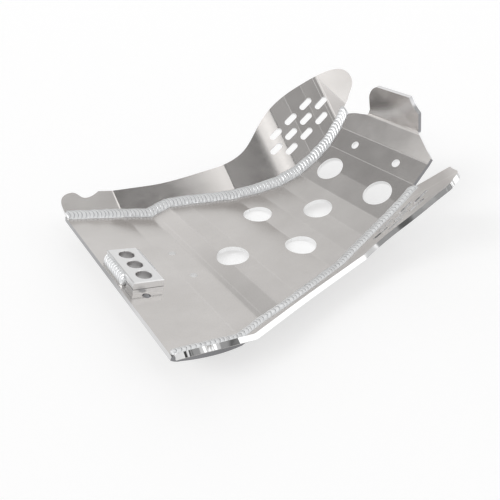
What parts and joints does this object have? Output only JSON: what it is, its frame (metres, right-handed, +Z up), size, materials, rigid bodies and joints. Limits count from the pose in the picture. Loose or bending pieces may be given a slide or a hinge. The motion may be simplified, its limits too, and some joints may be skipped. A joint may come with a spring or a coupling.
{
  "type": "motorcycle skid plate",
  "caption": "Bent and welded aluminium skid plate with flared side wings, drain holes, slotted vents, a drilled mount block at the rear and a turned-up front tab.",
  "frame": {"origin": "middle of the part's overall length and width, at the height of the ground that its belly rests on", "axes": "+X forward towards the front tab, +Y to the rider's left, +Z up"},
  "size_m": [0.325, 0.2644, 0.1109],
  "materials": {
    "aluminium_sheet": "satin rolled sheet with cut edges polished",
    "weld_bead": "bright rippled weld",
    "aluminium_block": "satin with bright bores"
  },
  "bodies": {
    "root": {"floor_plate": "aluminium_sheet", "left_wing": "aluminium_sheet", "right_wing": "aluminium_sheet", "left_weld_bead": "weld_bead", "right_weld_bead": "weld_bead", "mount_pad": "aluminium_block", "mount_block": "aluminium_block", "rear_block_bead": "weld_bead", "front_block_bead": "weld_bead"}
  },
  "joints": []
}
